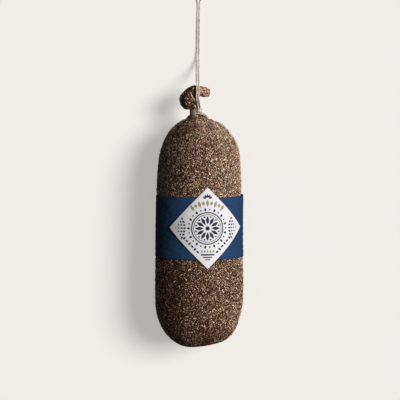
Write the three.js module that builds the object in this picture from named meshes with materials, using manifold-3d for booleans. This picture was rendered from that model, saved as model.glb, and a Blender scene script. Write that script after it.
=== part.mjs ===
// A large dry-cured sausage rolled in coarsely cracked pepper, lying on its flattened back.
//
// The sausage is one solid: a fat body with a blunt end, round shoulders, and a casing gathered
// into a narrow neck whose loose tail curls over. Twine is tied round the neck and runs on as a
// long hanging loop that lies where it has fallen. A paper band goes round the middle, and a
// diamond-shaped paper label is stuck on the band.
//
// Millimetres. +Y runs from the blunt end to the neck, +Z is up and is the side with the label,
// and the origin is on the surface that the sausage lies on, under its middle.

import * as THREE from "three";
import { mergeVertices } from "three/addons/utils/BufferGeometryUtils.js";
import Module from "manifold-3d";

const wasm = await Module();
wasm.setup();

// The body, from the blunt end to the neck
const BLUNT_END_Y = -133; // where it would reach without its sloping flat
const BLUNT_END_LENGTH = 50;
const BLUNT_END_POWER = 2.2; // 2 would make an end a plain ellipse, and more makes it fuller
const END_FLAT_Y = -129.6;
const END_FLAT_SLOPE = 0.152;
const END_FLAT_SOFTNESS = 1.2;
const SHOULDER_START_Y = 24;
const SHOULDER_LENGTH = 74;
const SHOULDER_POWER = 2.5;
const BELLY_Y = -74;
const BELLY_RADIUS = 43.9;
const CHEST_Y = 26;
const CHEST_RADIUS = 42.5;
const NECK_Y = 102.7;
const NECK_RADIUS = 3.4;
const NECK_FLARE = 1.35; // how much the radius grows for each millimetre below the neck
const NECK_BASE_RADIUS = 16; // below this the shoulder is wider than the flare
const AXIS_HEIGHT = 42.1; // less than the radius, so the underside is flattened
const NECK_SHIFT = -3.5; // the neck sits to the left of the axis
const NECK_SHIFT_FROM_Y = 88;

// Shallow dents: each is a wave round the body that turns as it goes along.
const DENTS = [
  { depth: 0.45, wavesRound: 3, turnLength: 50, start: 0 },
  { depth: 0.35, wavesRound: 2, turnLength: -60, start: 1 },
];

// Where one side of the body stands out or falls back. The side is 1 for +X and -1 for -X.
const SWELLINGS = [
  { middle: 68, side: 1, height: 1.8, length: 13 },
  { middle: -58, side: 1, height: 0.9, length: 24 },
  { middle: -100, side: 1, height: -0.9, length: 12 },
  { middle: 40, side: -1, height: -0.8, length: 20 },
  { middle: 94, side: -1, height: -1.2, length: 4 },
  { middle: 100, side: 1, height: 1.8, length: 3 },
];

// The gathered casing round the neck, and the crease that runs down the front from it
const PLEAT_COUNT = 9;
const PLEAT_SHARE = 0.07; // of the radius
const PLEATS_FROM_Y = 76;
const CREASE_TOP_Y = 96;
const CREASE_TOP_FADE = 8;
const CREASE_LOW_Y = 34;
const CREASE_LOW_FADE = 24;
const CREASE_DEPTH = 0.9;
const CREASE_WIDTH = 3.2;
const CREASE_X = 1;

// The coat of cracked pepper
const COAT_SIDES = 48; // the band has as many, so that it stays clear of the body's corners
const COAT_RING_STEP = 5.2;
const COAT_ROUGHNESS = 0.34;
const COAT_JITTER = 0.05; // radians, so that the rings' corners don't line up
const ROUGH_FROM_RADIUS = 12; // the narrow neck is smoother
const GRAIN_COUNT = 180;
const GRAIN_SIZE = [2.4, 3.7];
const GRAIN_FLATNESS = [1, 0.78, 0.62];
const GRAIN_JITTER_ALONG = 0.6; // of the step from one grain to the next
const GRAIN_JITTER_ROUND = 0.3; // radians
const GRAINS_ABOVE_FLOOR = 4;
const GRAINS_BELOW_NECK = 10;
const GRAINS_CLEAR_OF_BAND = 2.5;
const GRAINS_CLEAR_OF_LABEL = 4;

// The paper band and the paper label
const BAND_Y = [-39.7, 21.2];
const BAND_INSIDE = -0.6; // offsets are from the body's own surface
const BAND_OUTSIDE = 0.1;
const BODY_UNDER_BAND = -1.1;
const STEP_BESIDE_BAND = 0.5;
const RINGS_CLEAR_OF_BAND = 2;
const BAND_FLOOR_CLEARANCE = 0.3;
const BAND_FLARE = [0.8, 2]; // how far it stands off on the +X side, at its two edges
const LABEL_Y = -8.7;
const LABEL_ANGLE = THREE.MathUtils.degToRad(10.8);
const LABEL_WIDTH = 80.5; // round the body, from corner to corner
const LABEL_HEIGHT = 79.9;
const LABEL_INSIDE = 0.7;
const LABEL_OUTSIDE = 1.2;
const LABEL_CELLS = 10;

// The twine
const TWINE_DIAMETER = 1.7;
const TWINE_SIDES = 8;
const TWINE_STEPS = 62;
const TIE_WRAPS = 2;
const TIE_RADIUS = 4.9;
const TIE_SLANT = 3; // degrees
const TIE_Y = 104.1;
const WRAP_SPACING = 0.85 * TWINE_DIAMETER; // less than 1, because they press into each other
const WRAP_SIDES = 6;
const WRAP_STEPS = 18;
const KNOT_RADIUS = 1.8;
const CUT_END_STEPS = 6;

const SEAM_TOLERANCE = 0.02;

const { clamp, degToRad, lerp, smoothstep } = THREE.MathUtils;

// Draws the same numbers each time.
function seededRandom(seed) {
  let state = seed;
  return () => {
    state = (state + 0x6d2b79f5) | 0;
    let t = Math.imul(state ^ (state >>> 15), 1 | state);
    t = (t + Math.imul(t ^ (t >>> 7), 61 | t)) ^ t;
    return ((t ^ (t >>> 14)) >>> 0) / 4294967296;
  };
}

// A closed geometry with its shared vertices merged and its collapsed triangles left out.
function weld(geometry) {
  const bare = geometry.clone();
  bare.deleteAttribute("normal");
  bare.deleteAttribute("uv");
  const merged = mergeVertices(bare, 1e-4);
  const kept = [];
  const index = merged.index.array;
  for (let i = 0; i < index.length; i += 3) {
    const [a, b, c] = [index[i], index[i + 1], index[i + 2]];
    if (a !== b && b !== c && a !== c) kept.push(a, b, c);
  }
  merged.setIndex(kept);
  return merged;
}

// Moves each vertex to where place(vertex) puts it.
function reshape(geometry, place) {
  const position = geometry.getAttribute("position");
  const vertex = new THREE.Vector3();
  for (let i = 0; i < position.count; i++) {
    vertex.fromBufferAttribute(position, i);
    const moved = place(vertex);
    position.setXYZ(i, moved.x, moved.y, moved.z);
  }
  return geometry;
}

function toManifold(geometry) {
  const welded = weld(geometry);
  return new wasm.Manifold(
    new wasm.Mesh({
      numProp: 3,
      vertProperties: new Float32Array(welded.getAttribute("position").array),
      triVerts: new Uint32Array(welded.index.array),
    }),
  );
}

function fromManifold(solid) {
  const { vertProperties, triVerts } = solid.getMesh();
  return new THREE.BufferGeometry()
    .setAttribute("position", new THREE.BufferAttribute(vertProperties, 3))
    .setIndex(new THREE.BufferAttribute(triVerts, 1));
}

// One solid of several, with the slivers along their seams taken out.
function fuse(geometries) {
  return fromManifold(wasm.Manifold.union(geometries.map(toManifold)).simplify(SEAM_TOLERANCE));
}

// How full a rounded end is: 1 where it starts, and 0 at its tip.
function roundedEnd(share, power) {
  return (1 - clamp(share, 0, 1) ** power) ** (1 / power);
}

// The radius of the round body at a place along it.
function profileRadius(y) {
  const side = lerp(
    BELLY_RADIUS,
    CHEST_RADIUS,
    clamp((y - BELLY_Y) / (CHEST_Y - BELLY_Y), 0, 1),
  );
  const bluntEnd = roundedEnd(1 - (y - BLUNT_END_Y) / BLUNT_END_LENGTH, BLUNT_END_POWER);
  const shoulder = roundedEnd((y - SHOULDER_START_Y) / SHOULDER_LENGTH, SHOULDER_POWER);
  const flare = NECK_RADIUS + NECK_FLARE * Math.max(NECK_Y - y, 0);
  const neck = Math.min(flare, NECK_BASE_RADIUS);
  return Math.min(side * bluntEnd, Math.max(side * shoulder, neck));
}

// Where the middle of the body is, across, at a place along it.
function middleX(y) {
  return NECK_SHIFT * smoothstep(y, NECK_SHIFT_FROM_Y, NECK_Y);
}

// The blunt end has a flat that slopes, with a soft edge. This moves a place up to it.
function flattenEnd(x, y) {
  const flat = END_FLAT_Y + END_FLAT_SLOPE * x;
  return flat + END_FLAT_SOFTNESS * Math.log1p(Math.exp((y - flat) / END_FLAT_SOFTNESS));
}

// The radius at an angle, which is 0 at the top and grows towards +X.
function surfaceRadius(y, angle) {
  const round = profileRadius(y);
  const fullness = round / BELLY_RADIUS;
  const dents = DENTS.reduce(
    (sum, { depth, wavesRound, turnLength, start }) =>
      sum + depth * Math.sin(wavesRound * angle + y / turnLength + start),
    0,
  );
  const pleats =
    PLEAT_SHARE * round * smoothstep(y, PLEATS_FROM_Y, NECK_Y) * Math.cos(PLEAT_COUNT * angle);
  const swelling = SWELLINGS.reduce((sum, { middle, side, height, length }) => {
    const facing = Math.max(side * Math.sin(angle), 0) ** 2;
    return sum + height * facing * Math.exp(-(((y - middle) / length) ** 2));
  }, 0);
  const across = (round * Math.sin(angle) - CREASE_X) / CREASE_WIDTH;
  const alongCrease =
    smoothstep(y, CREASE_LOW_Y, CREASE_LOW_Y + CREASE_LOW_FADE) *
    (1 - smoothstep(y, CREASE_TOP_Y - CREASE_TOP_FADE, CREASE_TOP_Y));
  const crease =
    Math.cos(angle) > 0
      ? CREASE_DEPTH * alongCrease * across * Math.exp(0.5 - across * across / 2)
      : 0;
  return round + dents * fullness + pleats + swelling - crease;
}

// A point on the surface, or offset from it, but never lower than the given height.
function surfacePoint(y, angle, offset = 0, lowest = 0) {
  const radius = Math.max(surfaceRadius(y, angle) + offset, 0);
  const x = middleX(y) + radius * Math.sin(angle);
  const z = AXIS_HEIGHT + radius * Math.cos(angle);
  return new THREE.Vector3(x, flattenEnd(x, y), Math.max(z, lowest));
}

function surfaceNormal(y, angle) {
  const step = 0.5;
  const along = surfacePoint(y + step, angle).sub(surfacePoint(y - step, angle));
  const around = surfacePoint(y, angle + 0.02).sub(surfacePoint(y, angle - 0.02));
  return along.cross(around).normalize();
}

function isUnderBand(y) {
  const margin = 1.5 * STEP_BESIDE_BAND;
  return y > BAND_Y[0] - margin && y < BAND_Y[1] + margin;
}

// The heights of the rings that make the body: evenly spaced along its outline, apart from the
// stretch that the band hides, which needs few.
function ringHeights() {
  const heights = [];
  const sample = 0.1;
  let walked = COAT_RING_STEP / 2;
  for (let y = BLUNT_END_Y + sample; y < NECK_Y; y += sample) {
    walked += Math.hypot(sample, profileRadius(y) - profileRadius(y - sample));
    const isClear = y < BAND_Y[0] - RINGS_CLEAR_OF_BAND || y > BAND_Y[1] + RINGS_CLEAR_OF_BAND;
    if (walked >= COAT_RING_STEP && isClear) {
      heights.push(y);
      walked = 0;
    }
  }
  for (const step of [0, 0.25, 0.5, 0.75, 1]) {
    const [from, to] = [BAND_Y[0] - STEP_BESIDE_BAND, BAND_Y[1] + STEP_BESIDE_BAND];
    heights.push(lerp(from, to, step));
  }
  heights.push(BAND_Y[0] - 2 * STEP_BESIDE_BAND, BAND_Y[1] + 2 * STEP_BESIDE_BAND, NECK_Y);
  return heights.sort((a, b) => a - b);
}

function bodyGeometry() {
  const random = seededRandom(11);
  const outline = [
    new THREE.Vector2(0, BLUNT_END_Y),
    ...ringHeights().map((y) => new THREE.Vector2(profileRadius(y), y)),
    new THREE.Vector2(0, NECK_Y + 1),
  ];
  const body = weld(new THREE.LatheGeometry(outline, COAT_SIDES));
  return reshape(body, ({ x, y, z }) => {
    if (Math.hypot(x, z) < 1e-3) {
      return new THREE.Vector3(middleX(y), flattenEnd(middleX(y), y), AXIS_HEIGHT);
    }
    const angle = Math.atan2(x, z);
    if (isUnderBand(y)) {
      const floor = BAND_FLOOR_CLEARANCE + BAND_OUTSIDE - BODY_UNDER_BAND;
      return surfacePoint(y, angle, BODY_UNDER_BAND, floor);
    }
    const rough = COAT_ROUGHNESS * Math.min(profileRadius(y) / ROUGH_FROM_RADIUS, 1);
    const offset = rough * (2 * random() - 1);
    const turn = COAT_JITTER * (2 * random() - 1);
    return surfacePoint(y, angle + turn, offset);
  });
}

// The tail of the casing: each knot of its path has a place and a radius. It rises out of the
// neck, swells into a lobe on the left, and curls over to the right behind the twine.
const TAIL = [
  { at: [-3.3, 97.5, 0], radius: 3.8 },
  { at: [-3.5, 102.5, 0], radius: 3.8 },
  { at: [-3.5, 106.2, 0], radius: 3.8 },
  { at: [-7.4, 110.9, 0.8], radius: 4.7 },
  { at: [-11.6, 113.1, 1.8], radius: 6.6 },
  { at: [-12, 116.6, 2], radius: 7.5 },
  { at: [-9.4, 121, 0.4], radius: 6.2 },
  { at: [-5.4, 124.6, -3], radius: 5.3 },
  { at: [0.5, 124.5, -5.4], radius: 4.7 },
  { at: [6, 123.7, -5], radius: 4.8 },
  { at: [9.9, 123.1, -4.6], radius: 3.6 },
  { at: [11.3, 122.9, -4.6], radius: 1.2 },
];
const TAIL_SIDES = 16;
const TAIL_RINGS = 24;
const TAIL_ROUGHNESS = 0.09;
const TAIL_THICKNESS = 0.86; // of its width, as the empty casing is pressed flat
const TAIL_FLAT_FROM = 0.3; // of the way along it, because the neck is round

// A fold of the casing that closes the gap between the lobe and the curled end.
const FOLD = [
  { at: [-3.6, 105.5, -0.6], radius: 2.8 },
  { at: [-4.2, 110.5, -1.6], radius: 3.4 },
  { at: [-4.6, 115.5, -3], radius: 4.2 },
  { at: [-3.2, 120, -4.4], radius: 4.3 },
  { at: [-1.4, 123.8, -5.2], radius: 3.4 },
];
const FOLD_SIDES = 12;
const FOLD_RINGS = 8;

// A closed tube along a path of knots, which becomes flatter and rougher after its start.
function casingTube(knots, { sides, rings, seed, flatFrom }) {
  const random = seededRandom(seed);
  const path = new THREE.CatmullRomCurve3(
    knots.map(({ at: [x, y, z] }) => new THREE.Vector3(x, y, AXIS_HEIGHT + z)),
  );
  const radiusAt = (t) => {
    const place = t * (knots.length - 1);
    const low = Math.min(Math.floor(place), knots.length - 2);
    return lerp(knots[low].radius, knots[low + 1].radius, smoothstep(place - low, 0, 1));
  };
  const tube = weld(new THREE.CylinderGeometry(1, 1, 1, sides, rings));
  return reshape(tube, ({ x, y, z }) => {
    const t = y + 0.5;
    const forward = path.getTangent(t);
    const thick = new THREE.Vector3(0, 0, 1).projectOnPlane(forward).normalize();
    const wide = new THREE.Vector3().crossVectors(forward, thick);
    const flatness = smoothstep(t, flatFrom / 2, flatFrom);
    const rough = 1 + TAIL_ROUGHNESS * flatness * (2 * random() - 1);
    const radius = radiusAt(t) * rough;
    return path
      .getPoint(t)
      .addScaledVector(wide, x * radius)
      .addScaledVector(thick, z * radius * lerp(1, TAIL_THICKNESS, flatness));
  });
}

function tailGeometries() {
  return [
    casingTube(TAIL, { sides: TAIL_SIDES, rings: TAIL_RINGS, seed: 29, flatFrom: TAIL_FLAT_FROM }),
    casingTube(FOLD, { sides: FOLD_SIDES, rings: FOLD_RINGS, seed: 31, flatFrom: TAIL_FLAT_FROM }),
  ];
}

// Whether a place on the body is under the label or too near the band's edges.
function isCovered(y, angle) {
  const nearBand = y > BAND_Y[0] - GRAINS_CLEAR_OF_BAND && y < BAND_Y[1] + GRAINS_CLEAR_OF_BAND;
  const across = Math.abs((angle - LABEL_ANGLE) * BELLY_RADIUS);
  const along = Math.abs(y - LABEL_Y);
  const nearLabel =
    across / (LABEL_WIDTH / 2 + GRAINS_CLEAR_OF_LABEL) +
      along / (LABEL_HEIGHT / 2 + GRAINS_CLEAR_OF_LABEL) <
    1;
  return nearBand || nearLabel;
}

// The largest bits of pepper, spread evenly by the golden angle.
function grainGeometries() {
  const random = seededRandom(47);
  const goldenAngle = Math.PI * (3 - Math.sqrt(5));
  const from = BLUNT_END_Y + 1;
  const to = NECK_Y - GRAINS_BELOW_NECK;
  const grains = [];
  for (let i = 0; i < GRAIN_COUNT; i++) {
    const along = i + 0.5 + GRAIN_JITTER_ALONG * (random() - 0.5);
    const y = lerp(from, to, along / GRAIN_COUNT);
    const turned = (i * goldenAngle + GRAIN_JITTER_ROUND * random()) % (2 * Math.PI);
    const angle = turned > Math.PI ? turned - 2 * Math.PI : turned;
    const size = lerp(...GRAIN_SIZE, random());
    const spin = new THREE.Euler(2 * Math.PI * random(), 2 * Math.PI * random(), 0);
    const at = surfacePoint(y, angle);
    if (isCovered(y, angle) || at.z < GRAINS_ABOVE_FLOOR) continue;
    const upright = new THREE.Quaternion().setFromUnitVectors(
      new THREE.Vector3(0, 0, 1),
      surfaceNormal(y, angle),
    );
    const facets = new THREE.IcosahedronGeometry(size / 2, 0)
      .applyMatrix4(new THREE.Matrix4().makeRotationFromEuler(spin))
      .scale(...GRAIN_FLATNESS)
      .applyQuaternion(upright)
      .translate(at.x, at.y, at.z);
    grains.push(facets);
  }
  return grains;
}

function sausageGeometry() {
  return fuse([bodyGeometry(), ...tailGeometries(), ...grainGeometries()]);
}

// The stiff paper runs straight where the body narrows, so on one side it stands off.
function bandFlare(y, angle) {
  const along = clamp((y - BAND_Y[0]) / (BAND_Y[1] - BAND_Y[0]), 0, 1);
  return lerp(...BAND_FLARE, along) * Math.max(Math.sin(angle), 0) ** 2;
}

function bandGeometry() {
  const middle = (BAND_Y[0] + BAND_Y[1]) / 2;
  const [inside, outside] = [1, 2];
  const outline = [
    new THREE.Vector2(inside, BAND_Y[0]),
    new THREE.Vector2(outside, BAND_Y[0]),
    new THREE.Vector2(outside, middle),
    new THREE.Vector2(outside, BAND_Y[1]),
    new THREE.Vector2(inside, BAND_Y[1]),
    new THREE.Vector2(inside, middle),
    new THREE.Vector2(inside, BAND_Y[0]),
  ];
  const ring = weld(new THREE.LatheGeometry(outline, COAT_SIDES));
  return reshape(ring, ({ x, y, z }) => {
    const angle = Math.atan2(x, z);
    const isOutside = Math.hypot(x, z) > (inside + outside) / 2;
    const offset = isOutside ? BAND_OUTSIDE : BAND_INSIDE;
    const floor = BAND_FLOOR_CLEARANCE + BAND_OUTSIDE - offset;
    return surfacePoint(y, angle, offset + bandFlare(y, angle), floor);
  });
}

function labelGeometry() {
  const sheet = new THREE.BoxGeometry(2, 2, 1, LABEL_CELLS, LABEL_CELLS, 1);
  return reshape(weld(sheet), ({ x, y, z }) => {
    const across = (LABEL_WIDTH / 4) * (x + y);
    const along = (LABEL_HEIGHT / 4) * (y - x);
    const offset = z > 0 ? LABEL_OUTSIDE : LABEL_INSIDE;
    const angle = LABEL_ANGLE + across / BELLY_RADIUS;
    const flare = bandFlare(LABEL_Y + along, angle);
    return surfacePoint(LABEL_Y + along, angle, offset + flare);
  });
}

function twineTube(points, steps, sides = TWINE_SIDES) {
  const section = new THREE.Shape();
  for (let i = 0; i < sides; i++) {
    const angle = (2 * Math.PI * i) / sides;
    section[i ? "lineTo" : "moveTo"](
      (TWINE_DIAMETER / 2) * Math.cos(angle),
      (TWINE_DIAMETER / 2) * Math.sin(angle),
    );
  }
  section.closePath();
  const extrudePath = new THREE.CatmullRomCurve3(points, false, "centripetal");
  return new THREE.ExtrudeGeometry(section, { steps, extrudePath, bevelEnabled: false });
}

// The twine tied round the neck: its wraps, the knot at the front, and the cut end that lies on
// the shoulder.
const KNOT_AT = [0.5, 104.9, 46.9];
const CUT_END = [
  [1.3, 104.8, 47.4],
  [4, 102.8, 48.4],
  [6.8, 100.6, 48.8],
  [9.2, 98.6, 48.4],
];

function tieGeometry() {
  const wraps = [];
  for (let i = 0; i < TIE_WRAPS; i++) {
    const fromMiddle = i - (TIE_WRAPS - 1) / 2;
    const wrap = new THREE.TorusGeometry(TIE_RADIUS, TWINE_DIAMETER / 2, WRAP_SIDES, WRAP_STEPS)
      .rotateX(Math.PI / 2)
      .rotateZ(degToRad(TIE_SLANT))
      .translate(NECK_SHIFT, TIE_Y + fromMiddle * WRAP_SPACING, AXIS_HEIGHT);
    wraps.push(wrap);
  }
  const knot = new THREE.IcosahedronGeometry(KNOT_RADIUS, 1).translate(...KNOT_AT);
  const cutEnd = twineTube(
    CUT_END.map((at) => new THREE.Vector3(...at)),
    CUT_END_STEPS,
    WRAP_SIDES,
  );
  return fuse([...wraps, knot, cutEnd]);
}

// The hanging loop leaves the knot, lies over the curled tail, falls to the surface and runs on
// along it. The two runs lie side by side, and the loop is open at its far end.
const RUN_SPACING = 2.1;
const RUN = [
  [-0.3, 107.6, 48.6],
  [-1.1, 113.8, 50.2],
  [-1.2, 120.5, 48],
  [-1.2, 126.5, 45.2],
  [-1.2, 132, 40.6],
  [-1.3, 136.6, 33.6],
  [-1.4, 140.6, 25],
  [-1.4, 145, 16],
  [-1.4, 150.6, 8.4],
  [-1.3, 158, 3.1],
  [-1.1, 168, 1.2],
  [-0.9, 182, 1],
  [-0.6, 198, 1],
  [-0.3, 213, 1],
];
const LOOP_MIDDLE_X = 0;
const LOOP_END = [
  [2.6, 219, 1],
  [5.4, 225.5, 1],
  [4.9, 232.6, 1],
  [0.8, 236, 1],
];

function loopGeometry() {
  const mirrored = (points, side) =>
    points.map(([x, y, z]) => new THREE.Vector3(x + (side * RUN_SPACING) / 2, y, z));
  const out = mirrored(RUN, -1);
  const back = mirrored(RUN, 1).reverse();
  const turn = LOOP_END.map(([x, y, z]) => new THREE.Vector3(LOOP_MIDDLE_X - x, y, z));
  const turnBack = LOOP_END.slice(0, -1)
    .reverse()
    .map(([x, y, z]) => new THREE.Vector3(LOOP_MIDDLE_X + x, y, z));
  return twineTube([...out, ...turn, ...turnBack, ...back], TWINE_STEPS);
}

const MATERIALS = {
  pepperCoat: new THREE.MeshStandardMaterial({ color: 0x6b5140, roughness: 0.85 }),
  bandPaper: new THREE.MeshStandardMaterial({ color: 0x1f3a66, roughness: 0.5 }),
  labelPaper: new THREE.MeshStandardMaterial({ color: 0xe4e1e6, roughness: 0.6 }),
  twine: new THREE.MeshStandardMaterial({ color: 0xd8cbb8, roughness: 0.9 }),
};

function addPiece(group, name, geometry, material) {
  const mesh = new THREE.Mesh(geometry, material);
  mesh.name = name;
  group.add(mesh);
}

const sausage = new THREE.Group();
addPiece(sausage, "sausage", sausageGeometry(), MATERIALS.pepperCoat);
addPiece(sausage, "paper_band", bandGeometry(), MATERIALS.bandPaper);
addPiece(sausage, "paper_label", labelGeometry(), MATERIALS.labelPaper);
addPiece(sausage, "neck_tie", tieGeometry(), MATERIALS.twine);
addPiece(sausage, "hanging_loop", loopGeometry(), MATERIALS.twine);

export default sausage;
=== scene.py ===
# %% [markdown]
# A large dry-cured sausage in a coat of cracked pepper. It is a fat, firm cylinder with a blunt
# end, round shoulders and a casing that is gathered into a narrow neck. Twine is tied round the
# neck, a navy paper band goes round the middle, and a white diamond-shaped label is stuck on it.
#
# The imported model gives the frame: where each piece is and how big it is. This script makes the
# looks. It works in millimetres while it shapes a piece, and turns them to metres at the end.

# %% Load the frame
import math

import bmesh
import bpy
import numpy as np
from mathutils import Matrix, Vector


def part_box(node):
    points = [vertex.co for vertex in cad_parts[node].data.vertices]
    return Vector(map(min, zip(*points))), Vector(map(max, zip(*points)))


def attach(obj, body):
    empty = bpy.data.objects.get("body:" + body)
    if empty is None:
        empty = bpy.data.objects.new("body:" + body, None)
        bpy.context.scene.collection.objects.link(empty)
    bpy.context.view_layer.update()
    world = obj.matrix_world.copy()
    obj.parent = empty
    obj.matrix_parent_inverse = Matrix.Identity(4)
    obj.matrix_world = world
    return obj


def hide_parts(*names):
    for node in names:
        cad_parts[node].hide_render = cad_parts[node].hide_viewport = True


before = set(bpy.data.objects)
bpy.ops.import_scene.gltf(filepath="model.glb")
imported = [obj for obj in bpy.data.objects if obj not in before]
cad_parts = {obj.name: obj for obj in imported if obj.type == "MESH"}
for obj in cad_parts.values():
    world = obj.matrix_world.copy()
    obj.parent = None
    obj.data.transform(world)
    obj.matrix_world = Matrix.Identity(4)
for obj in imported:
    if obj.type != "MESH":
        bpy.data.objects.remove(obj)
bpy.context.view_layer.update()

MM = 0.001
BODY = "root"

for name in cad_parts:
    low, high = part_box(name)
    print(name, "measures", [round(float((b - a) / MM), 1) for a, b in zip(low, high)], "mm")

# %% [markdown]
# The photograph shows the sausage hanging. Here it lies on its back, so the camera looks down on
# it, from a little towards the neck. At 1.6 metres with a 144 mm lens, one pixel of the picture
# is one millimetre at the height of the sausage's axis.

# %% Camera
AXIS_HEIGHT = 42.1
PICTURE_CENTRE = Vector((1.0, 16.0, AXIS_HEIGHT))
CAMERA_DISTANCE = 1600.0
CAMERA_TILT = math.radians(4)
SENSOR_WIDTH = 36.0
PICTURE_WIDTH = 400.0


def add_object(name, data):
    made = bpy.data.objects.new(name, data)
    bpy.context.collection.objects.link(made)
    return made


camera_data = bpy.data.cameras.new("camera")
camera_data.sensor_width = SENSOR_WIDTH
camera_data.lens = SENSOR_WIDTH * CAMERA_DISTANCE / PICTURE_WIDTH
camera_data.clip_end = 20
camera = add_object("camera", camera_data)
towards_camera = Vector((0, math.sin(CAMERA_TILT), math.cos(CAMERA_TILT)))
camera.location = (PICTURE_CENTRE + towards_camera * CAMERA_DISTANCE) * MM
camera.rotation_euler = (-CAMERA_TILT, 0, 0)
bpy.context.scene.camera = camera
print("camera is", round(camera.location.z, 2), "m above the table")

# %% [markdown]
# Materials come from a few small functions. Colours are written as sRGB hex values, the way a
# paint chart gives them, and one function turns them to the linear values that the shader needs.
# Others add a node with its settings and links, or start and finish a material. All patterns
# are laid out in the object's own coordinates and sized in millimetres.

# %% Helpers for materials


def linear(hex_colour):
    """A linear RGBA colour from an sRGB hex value."""
    channels = [int(hex_colour[i : i + 2], 16) / 255 for i in (1, 3, 5)]
    straight = [c / 12.92 if c <= 0.04045 else ((c + 0.055) / 1.055) ** 2.4 for c in channels]
    return (*straight, 1.0)


def add_node(material, kind, inputs, **settings):
    """Adds a node. An input's value is a number or colour, or another node's output socket."""
    tree = material.node_tree
    node = tree.nodes.new(kind)
    for key, value in settings.items():
        setattr(node, key, value)
    for key, value in inputs.items():
        if isinstance(value, bpy.types.NodeSocket):
            tree.links.new(value, node.inputs[key])
        else:
            node.inputs[key].default_value = value
    return node


def new_material(name, values):
    """A material with its Principled shader, and the shader's plain values set."""
    material = bpy.data.materials.new(name)
    material.use_nodes = True
    shader = material.node_tree.nodes["Principled BSDF"]
    for key, value in values.items():
        shader.inputs[key].default_value = value
    return material


def finish_material(material, colour, normal):
    """Links the colour and the bumps to the shader."""
    shader = material.node_tree.nodes["Principled BSDF"]
    material.node_tree.links.new(colour, shader.inputs["Base Color"])
    material.node_tree.links.new(normal, shader.inputs["Normal"])


def colour_steps(material, factor, steps):
    """A ramp from (position, hex colour) pairs."""
    ramp = add_node(material, "ShaderNodeValToRGB", {"Fac": factor})
    elements = ramp.color_ramp.elements
    while len(elements) < len(steps):
        elements.new(0.5)
    for element, (position, colour) in zip(elements, steps):
        element.position = position
        element.color = linear(colour)
    return ramp.outputs["Color"]


def object_place(material):
    return add_node(material, "ShaderNodeTexCoord", {}).outputs["Object"]


def noise(material, place, width, detail, roughness=0.5):
    """A noise whose features are about this many millimetres wide."""
    inputs = {"Vector": place, "Scale": 1 / (width * MM), "Detail": detail, "Roughness": roughness}
    return add_node(material, "ShaderNodeTexNoise", inputs).outputs["Fac"]


def bumps(material, height, strength, depth):
    """A normal that makes a pattern look raised by up to this many millimetres."""
    inputs = {"Height": height, "Strength": strength, "Distance": depth * MM}
    return add_node(material, "ShaderNodeBump", inputs).outputs["Normal"]


def noisy_material(name, shine, pattern, colours, relief):
    """A material whose colour and bumps follow one noise."""
    material = new_material(name, shine)
    cloud = noise(material, object_place(material), *pattern)
    colour = colour_steps(material, cloud, colours)
    finish_material(material, colour, bumps(material, cloud, *relief))
    return material


def maths(material, operation, *values):
    node = add_node(material, "ShaderNodeMath", dict(enumerate(values)), operation=operation)
    return node.outputs["Value"]


# %% [markdown]
# Meshes come from a few helpers too. A piece is drawn simply with bmesh, and `reshape` then
# moves all of its vertices at once with a formula, which is how a flat grid becomes a label
# that wraps round the sausage. Every finished object stays at the origin.

# %% Helpers for meshes


def to_mesh(name, bm):
    mesh = bpy.data.meshes.new(name)
    bm.to_mesh(mesh)
    bm.free()
    return mesh


def spin_round(bm, geom, axis, sides):
    whole = 2 * math.pi
    bmesh.ops.spin(
        bm, geom=geom, cent=(0, 0, 0), axis=axis, angle=whole, steps=sides, use_merge=True
    )


def turned_mesh(name, outline, sides, closed=False):
    """An outline of (Y, radius) pairs, spun all the way round the Y axis."""
    bm = bmesh.new()
    verts = [bm.verts.new((0, along, radius)) for along, radius in outline]
    nexts = [*verts[1:], verts[0]] if closed else verts[1:]
    edges = [bm.edges.new(pair) for pair in zip(verts, nexts)]
    spin_round(bm, [*verts, *edges], (0, 1, 0), sides)
    bmesh.ops.remove_doubles(bm, verts=bm.verts, dist=1e-4)
    bmesh.ops.recalc_face_normals(bm, faces=bm.faces)
    return to_mesh(name, bm)


def reshape(mesh, place):
    """Moves the vertices: place takes and gives an array of points in millimetres."""
    points = np.empty(len(mesh.vertices) * 3)
    mesh.vertices.foreach_get("co", points)
    moved = place(points.reshape(-1, 3)) * MM
    mesh.vertices.foreach_set("co", moved.reshape(-1))
    mesh.update()


def add_piece(name, mesh, materials, smooth=True):
    piece = add_object(name, mesh)
    for material in materials:
        mesh.materials.append(material)
    if smooth:
        mesh.shade_smooth()
    else:
        mesh.shade_flat()
    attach(piece, BODY)
    print(name, "has", len(mesh.polygons), "faces")
    return piece


def smooth_step(value, low, high):
    share = np.clip((value - low) / (high - low), 0, 1)
    return share * share * (3 - 2 * share)


def stretch(y, sets_in, full, fades, gone):
    return smooth_step(y, sets_in, full) * (1 - smooth_step(y, fades, gone))


def unit(vectors):
    return vectors / np.linalg.norm(vectors, axis=-1, keepdims=True)


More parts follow.
